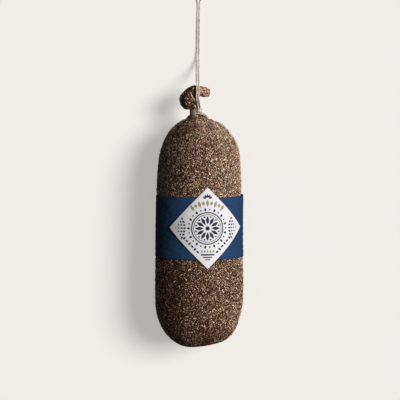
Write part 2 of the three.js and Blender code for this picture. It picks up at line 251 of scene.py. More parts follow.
def curve_through(knots, shares):
    """Points on a centripetal Catmull-Rom curve, at shares from 0 to 1 of the way through."""
    knots = np.array(knots, float)
    ends = [2 * knots[0] - knots[1]], [2 * knots[-1] - knots[-2]]
    padded = np.concatenate([ends[0], knots, ends[1]])
    place = np.clip(np.asarray(shares, float), 0, 1) * (len(knots) - 1)
    start = np.minimum(place.astype(int), len(knots) - 2)
    part = (place - start)[:, None]
    before, here, there, after = (padded[start + i] for i in range(4))
    gaps = [
        np.linalg.norm(b - a, axis=1, keepdims=True) ** 0.5
        for a, b in ((before, here), (here, there), (there, after))
    ]
    leave = (here - before) / gaps[0] - (there - before) / (gaps[0] + gaps[1])
    leave = (leave + (there - here) / gaps[1]) * gaps[1]
    arrive = (there - here) / gaps[1] - (after - here) / (gaps[1] + gaps[2])
    arrive = (arrive + (after - there) / gaps[2]) * gaps[1]
    square = -3 * here + 3 * there - 2 * leave - arrive
    cube = 2 * here - 2 * there + leave + arrive
    return here + part * (leave + part * (square + part * cube))


def evenly_along(points, step):
    """The same line with points a fixed step apart."""
    lengths = np.linalg.norm(np.diff(points, axis=0), axis=1)
    walked = np.concatenate([[0], np.cumsum(lengths)])
    places = np.linspace(0, walked[-1], max(int(walked[-1] / step), 2) + 1)
    return np.stack([np.interp(places, walked, points[:, i]) for i in range(3)], axis=1)


def length_of(points):
    return float(np.linalg.norm(np.diff(points, axis=0), axis=1).sum())


# %% [markdown]
# Twine comes first. The real one is a doubled length of butcher's twine: it hung the sausage
# from a hook, and laid on a table it falls over the curled tail and runs on to its open loop.
# Each strand is three plies twisted together. A plain round tube would look like wire, so each
# ply is a curve with a round bevel that winds round the strand's centreline.

# %% Twine material
# Cotton and linen fibres, spun and plied: dull, slightly rough, with darker flecks of bast.
FIBRE_WIDTH = 0.35
FLECK_LENGTH = 5.0
DARKER_TWINE_Y = (105.9, 107.0, 113.0, 118.0)


def darkening_edge(clear, darkened):
    """From 0 where the twine keeps its clean colour to 1 where it is darkened, between two places
    along Y.
    """
    return add_node(
        twine_finish,
        "ShaderNodeMapRange",
        {"Value": along, "From Min": clear * MM, "From Max": darkened * MM},
        interpolation_type="SMOOTHSTEP",
    ).outputs["Result"]


twine_finish = new_material("natural_cotton_linen_twine", {"Roughness": 0.88, "Sheen Weight": 0.25})
place = object_place(twine_finish)
fibres = noise(twine_finish, place, FIBRE_WIDTH, 4.0, 0.65)
flecks = noise(twine_finish, place, FLECK_LENGTH, 3.0)
both = maths(twine_finish, "MULTIPLY", fibres, flecks)
twine_steps = [(0.12, "#a29485"), (0.22, "#d8cec1"), (0.4, "#f2ece2")]
clean_colour = colour_steps(twine_finish, both, twine_steps)
# The twine is darker, a grey-brown, where it leaves the knot, between the places along Y given at
# the top of this cell.
along = add_node(twine_finish, "ShaderNodeSeparateXYZ", {"Vector": place}).outputs["Y"]
edges = darkening_edge(*DARKER_TWINE_Y[:2]), darkening_edge(*DARKER_TWINE_Y[:1:-1])
darkening = maths(twine_finish, "MULTIPLY", *edges)
darkening_colour = colour_steps(twine_finish, darkening, [(0.0, "#ffffff"), (1.0, "#ad9a8b")])
layers = {0: clean_colour, 1: darkening_colour}
darkened = add_node(twine_finish, "ShaderNodeVectorMath", layers, operation="MULTIPLY")
fibre_bumps = bumps(twine_finish, fibres, 0.5, 0.12)
finish_material(twine_finish, darkened.outputs["Vector"], fibre_bumps)

# %% Twine strands
TWINE_DIAMETER = 1.7
PLY_COUNT = 3
PLY_RADIUS = 0.25 * TWINE_DIAMETER
PLY_OFFSET = 0.245 * TWINE_DIAMETER
PLY_TURN_LENGTH = 7.0
STRAND_STEP = 0.55


def ply_lines(centreline, phase=0.0):
    """The centre of each ply: a helix round the strand's own centreline."""
    line = evenly_along(centreline, STRAND_STEP)
    forward = unit(np.gradient(line, axis=0))
    side = np.empty_like(line)
    hint = np.array([0.0, 0.0, 1.0]) if abs(forward[0][2]) < 0.9 else np.array([1.0, 0, 0])
    for i, ahead in enumerate(forward):
        hint = hint - ahead * hint.dot(ahead)
        hint /= np.linalg.norm(hint)
        side[i] = hint
    other = np.cross(forward, side)
    turned = phase + np.arange(len(line)) * STRAND_STEP / PLY_TURN_LENGTH * 2 * math.pi
    for ply in range(PLY_COUNT):
        angle = (turned + ply * 2 * math.pi / PLY_COUNT)[:, None]
        yield line + PLY_OFFSET * (np.cos(angle) * side + np.sin(angle) * other)


def tube_mesh(name, lines, radius):
    """One mesh of round tubes, with closed ends, along lines of points in millimetres."""
    curve = bpy.data.curves.new(name, "CURVE")
    curve.dimensions = "3D"
    curve.bevel_depth = radius * MM
    curve.bevel_resolution = 1
    curve.use_fill_caps = True
    for line in lines:
        spline = curve.splines.new("POLY")
        spline.points.add(len(line) - 1)
        spots = np.concatenate([line * MM, np.ones((len(line), 1))], axis=1)
        spline.points.foreach_set("co", spots.reshape(-1))
    holder = add_object(name, curve)
    ready = holder.evaluated_get(bpy.context.evaluated_depsgraph_get())
    mesh = bpy.data.meshes.new_from_object(ready)
    bpy.data.objects.remove(holder)
    bpy.data.curves.remove(curve)
    return mesh


# %% Hanging loop
# The route's points are the model's own.
RUN_SPACING = 2.1
RUN = [
    (-0.3, 107.6, 48.6),
    (-1.1, 113.8, 50.2),
    (-1.2, 120.5, 48),
    (-1.2, 126.5, 45.2),
    (-1.2, 132, 40.6),
    (-1.3, 136.6, 33.6),
    (-1.4, 140.6, 25),
    (-1.4, 145, 16),
    (-1.4, 150.6, 8.4),
    (-1.3, 158, 3.1),
    (-1.1, 168, 1.2),
    (-0.9, 182, 1),
    (-0.6, 198, 1),
    (-0.3, 213, 1),
]
LOOP_END = [(2.6, 219, 1), (5.4, 225.5, 1), (4.9, 232.6, 1), (0.8, 236, 1)]

out = [(x - RUN_SPACING / 2, y, z) for x, y, z in RUN]
back = [(x + RUN_SPACING / 2, y, z) for x, y, z in reversed(RUN)]
turn = [(-x, y, z) for x, y, z in LOOP_END]
loop_line = curve_through(out + turn + LOOP_END[-2::-1] + back, np.linspace(0, 1, 1200))
loop_path = evenly_along(loop_line, 2 * STRAND_STEP)
loop_mesh = tube_mesh("twine_loop", ply_lines(loop_line), PLY_RADIUS)
hanging_loop = add_piece("twine_loop", loop_mesh, [twine_finish])
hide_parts("hanging_loop")

# %% [markdown]
# The tie is the same twine, wound tightly round the neck and knotted at the front. Its cut end
# lies on the shoulder.

# %% Neck tie
TIE_RADIUS = 4.9
TIE_TURNS = 2.6
TIE_PITCH = 1.45
TIE_FACES = math.radians(45)
TIE_CENTRE = np.array([-3.5, 104.1, AXIS_HEIGHT])
KNOT_AT = np.array([0.5, 104.9, 46.9])
KNOT_SIZE = 0.9
KNOT_REACH = 1.6
KNOT_DEPTH = 1.1
KNOT_FACES = math.radians(40)
CUT_END = [(1.3, 104.8, 47.4), (4, 102.8, 48.4), (6.8, 100.6, 48.8), (9.2, 98.6, 48.4)]


def coil_line():
    share = np.linspace(-0.5, 0.5, 160)
    angle = TIE_FACES + share * TIE_TURNS * 2 * math.pi
    around = np.stack([np.sin(angle), np.zeros_like(angle), np.cos(angle)], axis=1)
    along = np.stack([0 * share, share * TIE_TURNS * TIE_PITCH, 0 * share], axis=1)
    return TIE_CENTRE + TIE_RADIUS * around + along


def knot_line():
    """A trefoil: the simplest closed knot, drawn small and tight."""
    t = np.linspace(0, 2 * math.pi, 90)
    across = np.sin(t) + KNOT_REACH * np.sin(2 * t)
    along = np.cos(t) - KNOT_REACH * np.cos(2 * t)
    drawn = np.stack([across, along, -KNOT_DEPTH * np.sin(3 * t)], axis=1)
    turned = np.array(Matrix.Rotation(KNOT_FACES, 3, "Y"))
    return KNOT_AT + KNOT_SIZE * drawn @ turned.T


tie_lines = [
    *ply_lines(coil_line()),
    *ply_lines(knot_line(), 1.0),
    *ply_lines(curve_through(CUT_END, np.linspace(0, 1, 40)), 2.0),
]
tie_mesh = tube_mesh("twine_tie", tie_lines, PLY_RADIUS)
neck_tie = add_piece("twine_tie", tie_mesh, [twine_finish])
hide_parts("neck_tie")

print("the doubled twine is", round(length_of(loop_path)), "mm long")

# %% [markdown]
# The body is a surface of revolution with a few departures. The weight of the sausage presses a
# flat into its back, and a sloping flat cuts the blunt end off a little slantwise. The sides
# have shallow dents and swellings. The neck leans to the left, pleats run out from the tie, and
# a crease goes down the front. These formulas are shared by everything that lies on the body:
# the pepper, the band and the label. So no piece can float or sink.

# %% Shape of the body
BLUNT_END_Y = -133.0
BLUNT_END_LENGTH = 50.0
BLUNT_END_POWER = 2.2
END_FLAT_Y = -129.6
END_FLAT_SLOPE = 0.152
END_FLAT_SOFTNESS = 1.2
SHOULDER_START_Y = 24.0
SHOULDER_LENGTH = 74.0
SHOULDER_POWER = 2.5
BELLY_Y = -74.0
BELLY_RADIUS = 43.9
CHEST_Y = 26.0
CHEST_RADIUS = 42.5
NECK_Y = 102.7
NECK_RADIUS = 3.4
NECK_FLARE = 1.35
NECK_BASE_RADIUS = 16.0
NECK_SHIFT = -3.5
NECK_SHIFT_FROM_Y = 88.0
PLEAT_COUNT = 9
PLEAT_SHARE = 0.07
PLEATS_FROM_Y = 76.0
CREASE_Y = (34.0, 58.0, 88.0, 96.0)
CREASE_DEPTH = 0.9
CREASE_WIDTH = 3.2
CREASE_X = 1.0
BAND_Y = (-39.7, 21.2)
BAND_FLARE = (0.8, 2.0)

# Shallow waves in the surface: height, number round the body, drift along Y and phase
DENTS = [(0.45, 3, 50, 0), (0.35, 2, -60, 1)]
# Where one side stands out or falls back: middle, side (1 for +X), height and length
SWELLINGS = [
    (68, 1, 1.8, 13),
    (-58, 1, 0.9, 24),
    (-100, 1, -0.9, 12),
    (40, -1, -0.8, 20),
    (94, -1, -1.2, 4),
    (100, 1, 1.8, 3),
]


def rounded_end(share, power):
    return (1 - np.clip(share, 0, 1) ** power) ** (1 / power)


def profile_radius(y):
    side = np.interp(y, [BELLY_Y, CHEST_Y], [BELLY_RADIUS, CHEST_RADIUS])
    blunt_end = rounded_end(1 - (y - BLUNT_END_Y) / BLUNT_END_LENGTH, BLUNT_END_POWER)
    shoulder = rounded_end((y - SHOULDER_START_Y) / SHOULDER_LENGTH, SHOULDER_POWER)
    flare = NECK_RADIUS + NECK_FLARE * np.maximum(NECK_Y - y, 0)
    neck = np.minimum(flare, NECK_BASE_RADIUS)
    return np.minimum(side * blunt_end, np.maximum(side * shoulder, neck))


def middle_x(y):
    return NECK_SHIFT * smooth_step(y, NECK_SHIFT_FROM_Y, NECK_Y)


def flatten_end(x, y):
    """Moves a place up to the sloping flat at the blunt end, which has a soft edge."""
    flat = END_FLAT_Y + END_FLAT_SLOPE * x
    return flat + END_FLAT_SOFTNESS * np.logaddexp(0, (y - flat) / END_FLAT_SOFTNESS)


def surface_radius(y, angle):
    """The radius at an angle, which is 0 at the top and grows towards +X."""
    radius = profile_radius(y)
    dents = sum(
        height * np.sin(count * angle + y / drift + phase) for height, count, drift, phase in DENTS
    )
    gather = PLEAT_SHARE * radius * smooth_step(y, PLEATS_FROM_Y, NECK_Y)
    pleats = gather * np.cos(PLEAT_COUNT * angle)
    across = (radius * np.sin(angle) - CREASE_X) / CREASE_WIDTH
    front = stretch(y, *CREASE_Y) * (np.cos(angle) > 0)
    crease = CREASE_DEPTH * front * across * np.exp(0.5 - across * across / 2)
    swelling = sum(
        height * np.maximum(side * np.sin(angle), 0) ** 2 * np.exp(-(((y - middle) / length) ** 2))
        for middle, side, height, length in SWELLINGS
    )
    return radius + dents * radius / BELLY_RADIUS + pleats + swelling - crease


def band_flare(y, angle):
    """How far the stiff paper stands off on one side, where the body narrows under it."""
    return np.interp(y, BAND_Y, BAND_FLARE) * np.maximum(np.sin(angle), 0) ** 2


def surface_point(y, angle, offset=0.0, lowest=0.0):
    """A point on the body, or offset from it, but never lower than the given height."""
    radius = np.maximum(surface_radius(y, angle) + offset, 0)
    x = middle_x(y) + radius * np.sin(angle)
    z = np.maximum(AXIS_HEIGHT + radius * np.cos(angle), lowest)
    return np.stack([x, flatten_end(x, y), z], axis=-1)


def normals_of(point_at, first, second, steps):
    """Unit normals of a surface that a function of two values describes."""
    along = point_at(first + steps[0], second) - point_at(first - steps[0], second)
    around = point_at(first, second + steps[1]) - point_at(first, second - steps[1])
    return unit(np.cross(around, along))


# %% [markdown]
# The casing itself hardly shows, because pepper covers it, but it fills the gaps between the
# grains with dark, dusty skin. Its outline is spun round with `bmesh.ops.spin`, like clay on a
# wheel, and then pressed into its real shape with the formulas above.

# %% Casing material
# Cured collagen skin rubbed with ground pepper: brown, nearly matt, and darker in the hollows.
DUST_WIDTH = 0.7

casing_finish = noisy_material(
    "cured_casing_with_pepper_dust",
    {"Roughness": 0.8},
    pattern=(DUST_WIDTH, 5.0, 0.7),
    colours=[(0.3, "#1a0d07"), (0.5, "#3a2416"), (0.72, "#7a583f")],
    relief=(0.8, 0.4),
)

# %% Casing
CASING_OFFSET = -0.8
CASING_RING_STEP = 1.6
CASING_SIDES = 170
CASING_TIP = 0.5
UNDER_BAND_OFFSET = -1.1
THIN_RADIUS = 6.0
OUTLINE_STEPS = 6000


def fine_outline(top):
    """Close places along the body, and how far its outline goes from each to the next."""
    fine = np.linspace(BLUNT_END_Y, top, OUTLINE_STEPS)
    return fine, np.hypot(np.gradient(fine), np.gradient(profile_radius(fine)))


def outline_heights(step):
    """Places along the body that are evenly spaced on its outline."""
    fine, slope = fine_outline(NECK_Y)
    walked = np.cumsum(slope)
    return np.interp(np.arange(0, walked[-1], step), walked, fine)


def under_band(y, margin):
    return (y > BAND_Y[0] - margin) & (y < BAND_Y[1] + margin)


def place_casing(points):
    y = points[:, 1]
    angle = np.arctan2(points[:, 0], points[:, 2])
    offset = np.where(under_band(y, 0.8), UNDER_BAND_OFFSET, CASING_OFFSET)
    offset = offset * np.clip(profile_radius(y) / THIN_RADIUS, 0, 1)
    return surface_point(y, angle, offset)


heights = [BLUNT_END_Y, *outline_heights(CASING_RING_STEP)[1:], NECK_Y]
outline = [*((y, profile_radius(y)) for y in heights), (NECK_Y + CASING_TIP, 0)]
casing_mesh = turned_mesh("casing", outline, CASING_SIDES)
reshape(casing_mesh, place_casing)
casing = add_piece("casing", casing_mesh, [casing_finish])
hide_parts("sausage")

# %% [markdown]
# Above the tie the empty casing swells into a lobe on the left and curls over to the right
# behind the twine. A fold of it lies in between, and beside the twine it bulges a little, like
# a cheek. Each is a cylinder, made with `bmesh.ops.create_cone`, whose rings then follow a
# curved path. Shallow wrinkles run along them, as in dried skin.

# %% Tail
# A path is a row of places, whose heights count from the axis, each with the radius there.
TAIL = [
    ((-3.3, 97.5, 0), 3.8),
    ((-3.5, 102.5, 0), 3.8),
    ((-3.5, 106.2, 0), 3.8),
    ((-7.4, 110.9, 0.8), 4.7),
    ((-11.6, 113.1, 1.8), 6.6),
    ((-12, 116.6, 2), 7.5),
    ((-9.4, 121, 0.4), 6.2),
    ((-5.4, 124.6, -3), 5.3),
    ((0.5, 124.5, -5.4), 4.7),
    ((6, 123.7, -5), 4.8),
    ((9.9, 123.1, -4.6), 3.6),
    ((11.3, 122.9, -4.6), 1.2),
]
FOLD = [
    ((-3.6, 105.5, -0.6), 2.8),
    ((-4.2, 110.5, -1.6), 3.4),
    ((-4.6, 115.5, -3), 4.2),
    ((-3.2, 120, -4.4), 4.3),
    ((-1.4, 123.8, -5.2), 3.4),
]
CHEEK = [
    ((-3.4, 104.5, 1.0), 2.4),
    ((-3.2, 107.5, 3.9), 2.5),
    ((-4.0, 110.5, 4.8), 2.7),
    ((-4.9, 113.5, 5.4), 2.7),
    ((-7.0, 116.5, 4.8), 2.2),
]
TAIL_SIDES = 64
TAIL_RINGS = 90
TAIL_THICKNESS = 0.86
TAIL_FLAT_FROM = 0.3
TAIL_SKIN_OFFSET = -0.5
PATH_STEP = 0.002
# Wrinkles: height, number round the tube, turn along it and phase
WRINKLES = [(0.35, 5, 6, 0), (0.3, 8, -9, 2)]


def tube_point(knots, share, angle, offset=0.0):
    """A point on a tube of casing: share goes from its start to its end, and angle 0 is up."""
    share = np.clip(share, 0, 1)
    line = [(x, y, AXIS_HEIGHT + z) for (x, y, z), _ in knots]
    ahead, behind = curve_through(line, share + PATH_STEP), curve_through(line, share - PATH_STEP)
    forward = unit(ahead - behind)
    thick = unit(np.array([0.0, 0.0, 1.0]) - forward * forward[:, 2:])
    wide = np.cross(forward, thick)
    place = share * (len(knots) - 1)
    low = np.minimum(place.astype(int), len(knots) - 2)
    radii = np.array([radius for _, radius in knots])
    radius = radii[low] + (radii[low + 1] - radii[low]) * smooth_step(place - low, 0, 1)
    flatness = smooth_step(share, TAIL_FLAT_FROM / 2, TAIL_FLAT_FROM)
    wrinkles = sum(
        height * np.sin(count * angle + turn * share + phase)
        for height, count, turn, phase in WRINKLES
    )
    radius = radius + offset + wrinkles * flatness * np.clip(radius / THIN_RADIUS, 0, 1)
    thickness = 1 + (TAIL_THICKNESS - 1) * flatness
    across = (radius * np.sin(angle))[:, None] * wide
    up = (radius * thickness * np.cos(angle))[:, None] * thick
    return curve_through(line, share) + across + up


def tube_piece(name, knots):
    bm = bmesh.new()
    bmesh.ops.create_cone(bm, cap_ends=True, segments=TAIL_SIDES, radius1=1, radius2=1, depth=1)
    long_edges = [e for e in bm.edges if abs(e.verts[0].co.z - e.verts[1].co.z) > 0.5]
    bmesh.ops.subdivide_edges(bm, edges=long_edges, cuts=TAIL_RINGS, use_grid_fill=True)
    bmesh.ops.triangulate(bm, faces=[f for f in bm.faces if len(f.verts) > 4])
    mesh = to_mesh(name, bm)

    def place(points):
        angle = np.arctan2(points[:, 0], points[:, 1])
        return tube_point(knots, points[:, 2] + 0.5, angle, TAIL_SKIN_OFFSET)

    reshape(mesh, place)
    add_piece(name, mesh, [casing_finish])


tube_piece("tail", TAIL)
tube_piece("tail_fold", FOLD)
tube_piece("tail_cheek", CHEEK)

# %% [markdown]
# Now the coat. Peppercorns are cracked, not ground: each piece is a shard of a small sphere,
# with a curved outside of dark, wrinkled shell and flat broken sides of pale, floury inside.
# That contrast is what makes the coat sparkle, so each shard is cut from an icosphere with
# `bisect_plane`, and its cut faces get the pale material.
#
# Thirty-eight thousand shards are too many to make one by one. Twelve shards are cut, and arrays
# turn, size and place copies of them. Golden-angle steps spread them evenly, and a seeded random
# draw moves each one a little.

# %% Pepper materials
SHELL, INSIDE = 0, 1
MOTTLING = 0.5
GRIT_DEPTH = 0.2


def pepper_material(name, colours, grit_width, bump, roughness):
    """A material whose colour is set by each grain's tint, which holds its random tone and painted
    light and shade, and mottled at its grit's size.
    """
    material = new_material(name, {"Roughness": roughness})
    grit = noise(material, object_place(material), grit_width, 2.0)
    tint = add_node(material, "ShaderNodeAttribute", {}, attribute_name="tint").outputs["Fac"]
    mottled = maths(material, "MULTIPLY_ADD", grit, MOTTLING, tint)
    colour = colour_steps(material, mottled, colours)
    finish_material(material, colour, bumps(material, grit, bump, GRIT_DEPTH))
    return material


# The shell of a black peppercorn: dark brown, wrinkled, with a slight dry shine.
shell_finish = pepper_material(
    "black_pepper_shell",
    [(0.15, "#290f06"), (0.6, "#714a33"), (1.0, "#c09c82")],
    grit_width=0.5,
    bump=0.9,
    roughness=0.7,
)
# The broken inside: floury, cream to tan, quite matt.
inside_finish = pepper_material(
    "pepper_inside",
    [(0.1, "#8c6244"), (0.6, "#e3c5a8"), (0.95, "#fbe9d6")],
    grit_width=0.35,
    bump=0.6,
    roughness=0.9,
)

# %% Pepper shards
SHARD_COUNT = 12
SHARD_CUTS = 3
CUT_REACH = 0.24
MERGE_WIDTH = 0.12
FLATNESS = 0.6
SOFTNESS = 0.65
BRIGHTNESS = (-0.16, 0.88)
TABLE_GAP = 0.02


def cut_shard(random):
    """The points, triangles and materials of one cracked piece, about 1 across."""
    bm = bmesh.new()
    bmesh.ops.create_icosphere(bm, subdivisions=1, radius=0.5)
    shell_faces = bm.faces.layers.int.new("shell")
    for face in bm.faces:
        face[shell_faces] = 1
    for _ in range(SHARD_CUTS):
        direction = Vector(random.normal(size=3)).normalized()
        cut = bmesh.ops.bisect_plane(
            bm,
            geom=[*bm.verts, *bm.edges, *bm.faces],
            plane_co=direction * random.uniform(0.0, CUT_REACH),
            plane_no=direction,
            clear_outer=True,
        )
        rim = [item for item in cut["geom_cut"] if isinstance(item, bmesh.types.BMEdge)]
        for face in bmesh.ops.contextual_create(bm, geom=rim)["faces"]:
            face[shell_faces] = 0
    bmesh.ops.remove_doubles(bm, verts=bm.verts, dist=MERGE_WIDTH)
    bmesh.ops.triangulate(bm, faces=bm.faces)
    bmesh.ops.recalc_face_normals(bm, faces=bm.faces)
    bm.verts.ensure_lookup_table()
    points = np.array([v.co for v in bm.verts])
    triangles = np.array([[v.index for v in f.verts] for f in bm.faces])
    kinds = np.array([SHELL if f[shell_faces] else INSIDE for f in bm.faces])
    bm.free()
    # Two faces back to back on the same three points would be a flap with no inside.
    corners = [tuple(sorted(triangle)) for triangle in triangles.tolist()]
    single = np.array([corners.count(three) == 1 for three in corners])
    return points - points.mean(axis=0), triangles[single], kinds[single]


shard_random = np.random.default_rng(5)
shards = [cut_shard(shard_random) for _ in range(SHARD_COUNT)]
print("shards have", [len(triangles) for _, triangles, _ in shards], "triangles")


def random_turns(random, count):
    """Evenly spread rotation matrices, from random unit quaternions."""
    w, x, y, z = unit(random.normal(size=(count, 4))).T
    rows = [
        [1 - 2 * (y * y + z * z), 2 * (x * y - z * w), 2 * (x * z + y * w)],
        [2 * (x * y + z * w), 1 - 2 * (x * x + z * z), 2 * (y * z - x * w)],
        [2 * (x * z - y * w), 2 * (y * z + x * w), 1 - 2 * (x * x + y * y)],
    ]
    return np.moveaxis(np.array(rows), 2, 0)


def scatter(name, at, normals, sizes, random, paler):
    """One piece made of a shard at each place, flattened a little against the surface."""
    count = len(at)
    turns = random_turns(random, count)
    kind_of = random.integers(len(shards), size=count)
    # A grain's tint is a random tone plus paler, which holds the painted light and shade for the
    # coat, the tail and the cheek.
    tints = random.uniform(*BRIGHTNESS, size=count) + paler
    all_points, all_triangles, all_kinds, all_tints, all_upright = [], [], [], [], []
    used = 0
    for kind, (points, triangles, kinds) in enumerate(shards):
        mine = np.flatnonzero(kind_of == kind)
        placed = np.einsum("gij,vj->gvi", turns[mine], points) * sizes[mine, None, None]
        height = np.einsum("gvi,gi->gv", placed, normals[mine])
        placed -= (1 - FLATNESS) * height[..., None] * normals[mine, None]
        placed += at[mine, None]
        placed[..., 2] += np.maximum(TABLE_GAP - placed[..., 2].min(axis=1), 0)[:, None]
        starts = used + np.arange(len(mine)) * len(points)
        all_points.append(placed.reshape(-1, 3))
        all_triangles.append((triangles[None] + starts[:, None, None]).reshape(-1, 3))
        all_kinds.append(np.tile(kinds, len(mine)))
        all_tints.append(np.repeat(tints[mine], len(points)))
        all_upright.append(np.repeat(normals[mine], len(triangles), axis=0))
        used += len(mine) * len(points)
    mesh = bpy.data.meshes.new(name)
    corners = np.concatenate(all_triangles)
    mesh.vertices.add(used)
    mesh.vertices.foreach_set("co", np.concatenate(all_points).reshape(-1) * MM)
    mesh.loops.add(corners.size)
    mesh.loops.foreach_set("vertex_index", corners.reshape(-1))
    mesh.polygons.add(len(corners))
    mesh.polygons.foreach_set("loop_start", np.arange(0, corners.size, 3))
    mesh.polygons.foreach_set("material_index", np.concatenate(all_kinds))
    tint = mesh.attributes.new("tint", "FLOAT", "POINT")
    tint.data.foreach_set("value", np.concatenate(all_tints))
    mesh.update(calc_edges=True)
    add_piece(name, mesh, [shell_finish, inside_finish])
    facets = np.empty(corners.size)
    mesh.polygons.foreach_get("normal", facets)
    leaning = (1 - SOFTNESS) * facets.reshape(-1, 3) + SOFTNESS * np.concatenate(all_upright)
    mesh.normals_split_custom_set(np.repeat(unit(leaning), 3, axis=0))


# %% Pepper coat
# Painted shade: where the coat is painted darker, on the left, in the crease, low down and at the
# blunt end: how much, the middle and width in degrees round the body, and the places along Y
# where it sets in, is full, fades and is gone
PAINTED_SHADE = [
    (0.15, -32, 19, (-150, -140, 120, 130)),
    (0.14, -32, 19, (75, 95, 120, 130)),
    (0.1, -32, 19, (-120, -100, -60, -20)),
    (0.12, 6, 9, (20, 40, 66, 76)),
    (0.1, 4, 16, (-150, -140, -80, -45)),
    (0.42, 13, 15, (-150, -140, -122, -100)),
]
GOLDEN_ANGLE = math.pi * (3 - math.sqrt(5))
GRAIN_AREA = 1.25
GRAIN_SIZES = (0.85, 2.0)
SIZE_SHAPE = (1.6, 2.6)
SINK = (-0.55, 0.15)
SINK_UNDER_PAPER = -0.6
PROUD_SHARE = 0.08
PROUD_HEIGHT = 0.4
COAT_FLOOR = 0.3
COAT_PIECES = 5
JITTER_ALONG = 8
JITTER_ROUND = 0.5
POLE_GAP = 0.02
COAT_UNDER_BAND = 0.2
PRESSED_MARGINS = (1.5, 1.2)
BODY_STEPS = (0.4, 0.02)
LABEL_Y = -8.7
LABEL_ANGLE = math.radians(10.8)
LABEL_WIDTH = 80.5
LABEL_HEIGHT = 79.9


def under_label(y, angle, margin):
    across = np.abs((angle - LABEL_ANGLE) * BELLY_RADIUS) / (LABEL_WIDTH / 2 + margin)
    return across + np.abs(y - LABEL_Y) / (LABEL_HEIGHT / 2 + margin) < 1


def even_places(random):
    """Places spread evenly over the body, as (y, angle), in the order from end to end."""
    fine, slope = fine_outline(NECK_Y - 1)
    area = np.cumsum(2 * math.pi * profile_radius(fine) * slope)
    count = int(area[-1] / GRAIN_AREA)
    index = np.arange(count)
    along = index + random.uniform(-JITTER_ALONG, JITTER_ALONG, count)
    # The pole itself has no outward direction, so no grain goes quite there.
    y = np.maximum(np.interp(along / count * area[-1], area, fine), BLUNT_END_Y + POLE_GAP)
    aside = random.uniform(-JITTER_ROUND, JITTER_ROUND, count) / np.maximum(profile_radius(y), 3)
    return y, (index * GOLDEN_ANGLE + aside + math.pi) % (2 * math.pi) - math.pi


def bulge(value, middle, width):
    return np.exp(-(((value - middle) / width) ** 2))


def painted_coat_light(y, angle):
    """Painted light and shade on the coat: paler on the right and the far left, darker on the left,
    in the crease, low down and at the blunt end.
    """
    degrees = np.degrees(angle)
    # Painted light: paler on the right, which faces the key light, and more so towards the neck.
    palest = np.radians(50 + 15 * smooth_step(y, 0, 60))
    right = (0.14 + 0.14 * smooth_step(y, 60, 90)) * np.maximum(np.cos(angle - palest), -0.2)
    # Painted light: the far left is paler, as if light were thrown back onto it.
    painted_bounce_far_left = 0.3 * smooth_step(-degrees, 52, 64)
    # Painted shade: darker low on the blunt end, and over the lower half; a little paler towards
    # the neck.
    painted_shade_end = 0.16 * smooth_step(degrees, 5, 25) * smooth_step(-y, 100, 122)
    painted_falloff_along = 0.11 * np.tanh((y + 10) / 20) - 0.085
    painted_shade_sum = sum(
        amount * bulge(degrees, middle, width) * stretch(y, *ends)
        for amount, middle, width, ends in PAINTED_SHADE
    )
    return right + painted_bounce_far_left - painted_shade_end + painted_falloff_along - painted_shade_sum


coat_random = np.random.default_rng(21)
y, angle = even_places(coat_random)
kept = ~under_band(y, -COAT_UNDER_BAND)
y, angle = y[kept], angle[kept]
sizes = GRAIN_SIZES[0] + np.diff(GRAIN_SIZES) * coat_random.beta(*SIZE_SHAPE, len(y))
sink = coat_random.uniform(*SINK, len(y))
sink += PROUD_HEIGHT * (coat_random.uniform(0, 1, len(y)) < PROUD_SHARE)
pressed = under_label(y, angle, PRESSED_MARGINS[0]) | under_band(y, PRESSED_MARGINS[1])
sink = np.where(pressed, np.minimum(sink, SINK_UNDER_PAPER), sink)
at = surface_point(y, angle, sink, COAT_FLOOR)
normals = normals_of(surface_point, y, angle, BODY_STEPS)
group = coat_random.integers(COAT_PIECES, size=len(y))
for i in range(COAT_PIECES):
    mine = group == i
    # Each grain's tint takes the painted light and shade of its place.
    paler = painted_coat_light(y[mine], angle[mine])
    scatter(f"pepper_coat_{i + 1}", at[mine], normals[mine], sizes[mine], coat_random, paler)

# %% Pepper on the tail
# Painted shade makes the pepper dark in the lobe on the left, and painted light makes it pale at
# the tip of the curl. The fold between them is bare.
TAIL_GRAINS = 1500
TAIL_GRAINS_FROM = 0.14
TAIL_GRAINS_LENGTH = 0.84
TAIL_BARE_TO = 0.235
FOLD_X = (-6.4, -2.6)
FOLD_Y = (117.5, 127)
CHEEK_GRAINS = 240
CHEEK_GRAINS_FROM = 0.05
TUBE_SINK = -0.25
TUBE_STEPS = (0.004, 0.05)


def golden_turns(count):
    return np.arange(count) * GOLDEN_ANGLE % (2 * math.pi) - math.pi


def pepper_tube(name, knots, share, angle, sizes, change_x, tints):
    """Grains on a tube, whose tint changes from one value to another between two X places: painted
    shade on one side and painted light on the other.
    """
    at = tube_point(knots, share, angle, TUBE_SINK)
    normals = normals_of(lambda *spot: tube_point(knots, *spot), share, angle, TUBE_STEPS)
    sizes = coat_random.uniform(*sizes, len(at))
    paler = tints[0] + (tints[1] - tints[0]) * smooth_step(at[:, 0], *change_x)
    scatter(name, at, normals, sizes, coat_random, paler)


spread = np.arange(TAIL_GRAINS) + coat_random.uniform(0, 1, TAIL_GRAINS)
share = TAIL_GRAINS_FROM + TAIL_GRAINS_LENGTH * spread / TAIL_GRAINS
angle = golden_turns(TAIL_GRAINS)
x, y, z = tube_point(TAIL, share, angle, TUBE_SINK).T
in_fold = (x > FOLD_X[0]) & (x < FOLD_X[1]) & (y > FOLD_Y[0]) & (y < FOLD_Y[1])
kept = (share > TAIL_BARE_TO) & ~(in_fold & (z > AXIS_HEIGHT))
pepper_tube("pepper_tail", TAIL, share[kept], angle[kept], (0.9, 1.9), (-6, 3), (-0.49, 0.18))

